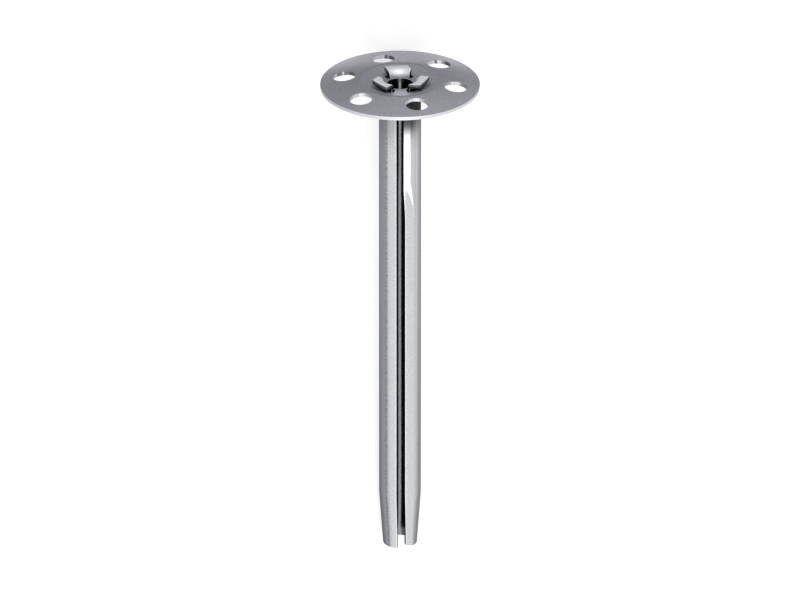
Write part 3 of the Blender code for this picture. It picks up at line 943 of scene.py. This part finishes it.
# Zinc finish: changes of the roughness
GRAIN_SPREAD = 0.16
PATCH_SPREAD = 0.02
CRIMP_DULLING = 0.35
STRUCK_DULLING = 0.34
WORN_POLISH = -0.08

# Zinc finish: relief
LINE_RELIEF = 0.8
RELIEF_STRENGTH = 0.35
RELIEF_HEIGHT = 0.02 * MM


def shaded(tone, factor):
    """An RGBA colour made darker or lighter."""
    return [min(1.0, channel * factor) for channel in tone] + [1.0]


def blended(tree, share, first, second):
    """The first colour under this share of the second."""
    values = {"Factor": share, "A": first, "B": second}
    return add_node(tree, "ShaderNodeMix", values, data_type="RGBA").outputs["Result"]


def upright_coordinates(tree, place, output="Object"):
    """The surface's coordinates or normal in the anchor's own upright frame."""
    back = place.inverted()
    values = {"Vector": add_node(tree, "ShaderNodeTexCoord").outputs[output], "Rotation": back.to_euler()}
    if output == "Object":
        values["Location"] = back.to_translation()
    return add_node(tree, "ShaderNodeMapping", values).outputs["Vector"]


def zinc_material(name, place, tone, roughness, grain_size, patch_depth, line_depth,
                  plate_light_shade_and_marks=0.0, metallic=1.0, hole_streak_and_shade_share=0.0, dish_dulling=0.0, painted_edge_light=0.0, painted_dish_highlight=0.0):
    """A zinc coat: grain, patches, drawing lines, scratches and bright worn edges; painted shadow of the
    plate on the sleeve; painted light on the tongues, their front edges and the dish's front; streaks and a
    painted side shade in the holes.
    """
    remove_old(bpy.data.materials, name)
    material = bpy.data.materials.new(name)
    material.use_nodes = True
    tree = material.node_tree
    shader = tree.nodes["Principled BSDF"]
    upright = upright_coordinates(tree, place)

    def effect(group_name):
        """A shader group in this material."""
        group = bpy.data.node_groups[group_name]
        return add_node(tree, "ShaderNodeGroup", {"Vector": upright}, node_tree=group)

    grain = effect("zinc_grain")
    grain.inputs["Grain Size"].default_value = grain_size
    lines = effect("drawn_lines").outputs
    worn = effect("edge_wear").outputs["Wear"]
    plate_zones = effect("painted_plate_light_and_shade").outputs
    hole_streaks_and_shade = effect("hole_streaks_and_side_shade")
    tree.links.new(upright_coordinates(tree, place, "Normal"), hole_streaks_and_shade.inputs["Normal"])

    patches = ramp(tree, grain.outputs["Patches"], MASK_LOW, MASK_HIGH)
    specks = ramp(tree, grain.outputs["Grain"], MASK_LOW, MASK_HIGH)
    patch_part = maths(tree, "MULTIPLY", patches, 1.0 - GRAIN_SHARE)
    mottled = maths(tree, "MULTIPLY_ADD", specks, GRAIN_SHARE, patch_part)
    coat = blended(tree, mottled, shaded(tone, 1.0 - patch_depth), shaded(tone, 1.0 + patch_depth))
    for mask, share, layer_tone in (
            (lines["Lines"], line_depth, LINE_TONE),
            (lines["Marks"], MARK_SHARE * plate_light_shade_and_marks, MARK_TONE),
            (lines["Scratches"], SCRATCH_SHARE * line_depth, SCRATCH_TONE),
            (worn, WORN_SHARE, WORN_TONE),
            # The next layers paint shadow of the plate, light on the tongues and their front edges, a
            # highlight on the dish's front, and a side shade in the holes
            (plate_zones["Shade"], plate_light_shade_and_marks, PLATE_SHADOW_TONE),
            (plate_zones["Past"], plate_light_shade_and_marks, TONGUE_LIGHT_TONE),
            (plate_zones["Front"], painted_edge_light, EDGE_LIGHT_TONE),
            (plate_zones["Dish Highlight"], painted_dish_highlight, DISH_HIGHLIGHT_TONE),
            (hole_streaks_and_shade.outputs["Shade"], hole_streak_and_shade_share, HOLE_STREAK_AND_SHADE_TONE)):
        coat = blended(tree, maths(tree, "MULTIPLY", mask, share), coat, shaded(tone, layer_tone))
    tree.links.new(coat, shader.inputs["Base Color"])

    spread = roughness - (GRAIN_SPREAD + PATCH_SPREAD) / 2
    for mask, change in (
            (grain.outputs["Grain"], GRAIN_SPREAD),
            (grain.outputs["Patches"], PATCH_SPREAD),
            (plate_zones["Shade"], CRIMP_DULLING * plate_light_shade_and_marks),
            (plate_zones["Past"], STRUCK_DULLING * plate_light_shade_and_marks),
            (plate_zones["Dish"], dish_dulling)):
        spread = maths(tree, "MULTIPLY_ADD", mask, change, spread)
    rubbed = maths(tree, "MULTIPLY_ADD", worn, WORN_POLISH, spread, clamp=True)
    tree.links.new(rubbed, shader.inputs["Roughness"])
    shader.inputs["Metallic"].default_value = metallic

    relief = maths(tree, "MULTIPLY_ADD", lines["Lines"], LINE_RELIEF, grain.outputs["Height"])
    values = {"Strength": RELIEF_STRENGTH, "Distance": RELIEF_HEIGHT, "Height": relief}
    bump = add_node(tree, "ShaderNodeBump", values)
    tree.links.new(bump.outputs["Normal"], shader.inputs["Normal"])
    return material


# Stage

WHITE = (1.0, 1.0, 1.0)
STAGE_ROUGHNESS = 0.9
FLOOR_DROP = 0.02 * MM            # between the floor and the rim, so that the two don't flicker
CARD_RISE = 0.4 * MM              # of the flat cards over the floor
FOOT_RISE = 0.6 * MM              # of the card that lies on another
BESIDE_SLEEVE = (-0.25, 0.045)    # from where to where in X the cards beside the sleeve run
STRIP_TURN = math.radians(5.0)    # where round the sleeve the strip light is mirrored
FRONT_LIGHT_WAY = Vector((0.7, -0.2, 0.7))


def plain_material(name, tone, glow):
    """A dull stage material that glows white at this strength."""
    remove_old(bpy.data.materials, name)
    material = bpy.data.materials.new(name)
    material.use_nodes = True
    shader = material.node_tree.nodes["Principled BSDF"]
    shader.inputs["Base Color"].default_value = (*tone, 1.0)
    shader.inputs["Roughness"].default_value = STAGE_ROUGHNESS
    shader.inputs["Specular IOR Level"].default_value = 0.0
    shader.inputs["Emission Color"].default_value = (*WHITE, 1.0)
    shader.inputs["Emission Strength"].default_value = glow
    return material


def seen_directly(tree):
    """1 where the camera, the metal or glass looks, 0 for light on dull surfaces."""
    path = add_node(tree, "ShaderNodeLightPath").outputs
    glossy = maths(tree, "MAXIMUM", path["Is Camera Ray"], path["Is Glossy Ray"])
    return maths(tree, "MAXIMUM", glossy, path["Is Transmission Ray"])


def stage_sheet(name, corners, material):
    """A flat or folded sheet of the stage, through rows of two corners."""
    mesh = bpy.data.meshes.new(name)
    rows = len(corners) // 2
    faces = [(2 * row, 2 * row + 1, 2 * row + 3, 2 * row + 2) for row in range(rows - 1)]
    mesh.from_pydata(corners, [], faces)
    mesh.materials.append(material)
    sheet = new_object(name, mesh)
    return sheet


def make_floor(studio):
    """The pale floor, which glows a little for the camera and keeps the shadow."""
    material = plain_material("pale_floor", studio.floor_tone, studio.floor_glow)
    tree = material.node_tree
    shader = tree.nodes["Principled BSDF"]
    glow = maths(tree, "MULTIPLY", seen_directly(tree), studio.floor_glow)
    camera = add_node(tree, "ShaderNodeLightPath").outputs["Is Camera Ray"]
    lifted = maths(tree, "MULTIPLY_ADD", camera, studio.shadow_lift, glow)
    tree.links.new(lifted, shader.inputs["Emission Strength"])
    half = studio.floor_size / 2
    corners = [(x, y, -FLOOR_DROP) for x in (-half, half) for y in (half, -half)]
    stage_sheet("floor", corners, material)


def make_card(name, near_tone, far_tone, ends, section, fade, glow=0.0):
    """A card of a section in (Y, Z) between two ends in X, in metres, which only the metal mirrors.

    Its tone goes from near to far along a direction, from the first to the second distance.
    """
    corners = [(end, across, height) for across, height in section for end in ends]
    material = plain_material(name, near_tone, glow)
    tree = material.node_tree
    shader = tree.nodes["Principled BSDF"]
    direction, start, end = fade
    coordinates = add_node(tree, "ShaderNodeTexCoord").outputs["Object"]
    along = add_node(tree, "ShaderNodeVectorMath", {0: coordinates, 1: direction}, operation="DOT_PRODUCT")
    part = ramp(tree, along.outputs["Value"], start, end, kind="LINEAR")
    tone = blended(tree, part, (*near_tone, 1.0), (*far_tone, 1.0))
    tree.links.new(tone, shader.inputs["Base Color"])
    card = stage_sheet(name, corners, material)
    card.visible_camera = False
    card.visible_diffuse = False
    card.visible_shadow = False


def make_cards(studio):
    """Grey cards on both sides of the sleeve, before the plate and beside it."""
    foot, left, right = studio.foot_card, studio.left_card, studio.right_card
    plate, front = studio.plate_card, studio.front_card
    even = ((1, 0, 0), 0.0, 1.0)
    make_card("left_card", left, WHITE, ends=BESIDE_SLEEVE,
              section=((-0.001, CARD_RISE), (0.1, CARD_RISE), (0.1, 0.044)), fade=((0, 0, 1), 0.0, 0.040))
    make_card("left_foot", foot, left, ends=BESIDE_SLEEVE,
              section=((-0.001, FOOT_RISE), (0.018, FOOT_RISE)), fade=((0, 1, 0), 0.008, 0.018))
    make_card("right_card", right, WHITE, ends=BESIDE_SLEEVE,
              section=((-0.3, CARD_RISE), (-0.004, CARD_RISE)), fade=((0, 1, 0), -0.008, -0.06))
    make_card("plate_card", plate, front, ends=(0.0595, 0.14),
              section=((-0.05, CARD_RISE), (0.05, CARD_RISE)), fade=((1, -0.25, 0), 0.070, 0.085))
    make_card("rear_card", WHITE, WHITE, ends=(0.0562, 0.0595),
              section=((-0.02, CARD_RISE), (0.02, CARD_RISE)), fade=even, glow=studio.rear_glow)
    for name, side in (("left_wing", 1), ("right_wing", -1)):
        make_card(name, plate, plate, ends=(0.058, 0.3),
                  section=((0.05 * side, CARD_RISE), (0.12 * side, 0.2)), fade=even)


def make_sky(studio):
    """White all round, at a plain level for dull surfaces."""
    remove_old(bpy.data.worlds, "studio_white")
    world = bpy.data.worlds.new("studio_white")
    world.use_nodes = True
    tree = world.node_tree
    background = tree.nodes["Background"]
    background.inputs["Color"].default_value = (*WHITE, 1.0)
    extra = studio.sky_level - studio.fill_level
    strength = maths(tree, "MULTIPLY_ADD", seen_directly(tree), extra, studio.fill_level)
    tree.links.new(strength, background.inputs["Strength"])
    bpy.context.scene.world = world


def make_softbox(name, direction, along, distance, width, depth, brightness):
    """An area light that faces the anchor, of the same brightness whatever its size."""
    light = bpy.data.lights.new(name, "AREA")
    light.shape = "RECTANGLE"
    light.size = width
    light.size_y = depth
    light.energy = brightness * math.pi * width * depth
    lamp = new_object(name, light)
    back = direction.normalized()
    across = along.cross(back).normalized()
    turn = Matrix((across, back.cross(across), back)).transposed().to_4x4()
    turn.translation = back * distance
    lamp.matrix_world = turn
    lamp.visible_camera = False


def mirrored_direction(studio, place, turn):
    """Where the view goes off the sleeve towards this turn about the axis."""
    level_part = math.cos(studio.elevation)
    heading = -RIGHT_ANGLE - studio.turn + turn
    local = around(level_part, heading, -math.sin(studio.elevation))
    return place.to_3x3() @ local


def make_camera(studio, place):
    """The camera at the photograph's angle, on the slit's side."""
    heading = -RIGHT_ANGLE - studio.turn
    back = place.to_3x3() @ around(math.cos(studio.elevation), heading, math.sin(studio.elevation))
    right = place.to_3x3() @ around(1.0, heading + RIGHT_ANGLE)
    turn = Matrix((right, back.cross(right), back)).transposed().to_4x4()
    turn.translation = place @ Vector((0, 0, -studio.aim_depth)) + back * studio.distance
    data = bpy.data.cameras.new("camera")
    data.lens = studio.lens
    camera = new_object("camera", data)
    camera.matrix_world = turn
    bpy.context.scene.camera = camera


# Operators

class ANCHOR_OT_zinc_groups(bpy.types.Operator):
    """Build the shader groups that the zinc coats share"""
    bl_idname = "anchor.zinc_groups"
    bl_label = "Zinc groups"
    bl_options = {"REGISTER", "UNDO"}

    def execute(self, context):
        zinc_grain_group()
        drawn_lines_group()
        edge_wear_group()
        painted_plate_light_and_shade_group()
        hole_streaks_and_side_shade_group()
        return {"FINISHED"}


class ANCHOR_OT_plate(bpy.types.Operator):
    """Make the domed pressure plate in place of its plain node"""
    bl_idname = "anchor.plate"
    bl_label = "Plate"
    bl_options = {"REGISTER", "UNDO"}

    def execute(self, context):
        sizes = Sizes(context.scene)
        plate = sizes.plate
        place = lying_frame(sizes)
        coat = zinc_material(
            "plate_zinc_coat", place, plate.zinc, plate.roughness,
            grain_size=0.30 * MM, patch_depth=0.20, line_depth=0.03,
            dish_dulling=plate.dish_dulling, painted_dish_highlight=plate.painted_dish_highlight)
        edge = zinc_material(
            "plate_cut_edge", place, plate.cut_steel, plate.cut_roughness,
            grain_size=0.15 * MM, patch_depth=0.05, line_depth=0.1,
            metallic=plate.cut_metallic, hole_streak_and_shade_share=plate.hole_streak_and_shade)
        bore = zinc_material(
            "plate_bore", place, plate.bore_shade_tone, plate.bore_roughness,
            grain_size=0.22 * MM, patch_depth=0.1, line_depth=0.1)
        piece("pressure_plate", "plate", plate_shape(sizes), [coat, edge, bore], place)
        return {"FINISHED"}


class ANCHOR_OT_sleeve(bpy.types.Operator):
    """Make the slit sleeve with its tongues in place of its plain node"""
    bl_idname = "anchor.sleeve"
    bl_label = "Sleeve"
    bl_options = {"REGISTER", "UNDO"}

    def execute(self, context):
        sizes = Sizes(context.scene)
        sleeve = sizes.sleeve
        place = lying_frame(sizes)
        coat = zinc_material(
            "sleeve_zinc_coat", place, sleeve.zinc, sleeve.roughness,
            grain_size=0.24 * MM, patch_depth=0.10, line_depth=0.12, plate_light_shade_and_marks=sleeve.painted_plate_light_and_shade)
        edge = zinc_material(
            "sleeve_cut_edge", place, sleeve.edge_shade_tone, sleeve.sheared_roughness,
            grain_size=0.15 * MM, patch_depth=0.1, line_depth=0.1, painted_edge_light=sleeve.painted_edge_light)
        bore = zinc_material(
            "sleeve_bore", place, sleeve.bore_shade_tone, sleeve.bore_roughness,
            grain_size=0.22 * MM, patch_depth=0.1, line_depth=0.1)
        piece("slit_sleeve", "sleeve", sleeve_shape(sizes), [coat, edge, bore], place)
        return {"FINISHED"}


class ANCHOR_OT_stage(bpy.types.Operator):
    """Set up the floor, the cards, the lights and the camera"""
    bl_idname = "anchor.stage"
    bl_label = "Stage"
    bl_options = {"REGISTER", "UNDO"}

    def execute(self, context):
        studio = context.scene.anchor_studio
        place = lying_frame(Sizes(context.scene))
        along = place.to_3x3() @ Vector((0, 0, 1))
        make_floor(studio)
        make_cards(studio)
        make_sky(studio)
        over_slit = mirrored_direction(studio, place, STRIP_TURN)
        make_softbox("strip_light", over_slit, along, distance=0.7, width=0.42, depth=1.2,
                     brightness=studio.strip_level)
        make_softbox("front_light", FRONT_LIGHT_WAY, along, distance=0.9, width=0.7, depth=0.5,
                     brightness=studio.front_level)
        make_camera(studio, place)
        context.scene.view_settings.view_transform = "Standard"
        return {"FINISHED"}


class ANCHOR_PT_panel(bpy.types.Panel):
    """Settings and steps of the anchor"""
    bl_idname = "ANCHOR_PT_panel"
    bl_label = "Insulation anchor"
    bl_space_type = "VIEW_3D"
    bl_region_type = "UI"
    bl_category = "Anchor"

    def draw(self, context):
        layout = self.layout
        for settings, operators in ((context.scene.anchor_plate, ["anchor.plate"]),
                                    (context.scene.anchor_sleeve, ["anchor.sleeve"]),
                                    (context.scene.anchor_studio, ["anchor.zinc_groups", "anchor.stage"])):
            box = layout.box()
            for name in settings.__annotations__:
                box.prop(settings, name)
            for operator in operators:
                box.operator(operator)


CLASSES = (
    PlateSettings, SleeveSettings, StudioSettings,
    ANCHOR_OT_zinc_groups, ANCHOR_OT_plate, ANCHOR_OT_sleeve, ANCHOR_OT_stage, ANCHOR_PT_panel,
)


def register():
    """Register the classes and hang the settings on the scene."""
    for made_class in CLASSES:
        bpy.utils.register_class(made_class)
    bpy.types.Scene.anchor_plate = PointerProperty(type=PlateSettings)
    bpy.types.Scene.anchor_sleeve = PointerProperty(type=SleeveSettings)
    bpy.types.Scene.anchor_studio = PointerProperty(type=StudioSettings)


def unregister():
    """Take the settings and the classes away again."""
    del bpy.types.Scene.anchor_plate
    del bpy.types.Scene.anchor_sleeve
    del bpy.types.Scene.anchor_studio
    for made_class in reversed(CLASSES):
        bpy.utils.unregister_class(made_class)


def main():
    """Build the anchor and its stage."""
    register()
    bpy.ops.anchor.zinc_groups()
    bpy.ops.anchor.plate()
    bpy.ops.anchor.sleeve()
    bpy.ops.anchor.stage()


if __name__ == "__main__":
    main()
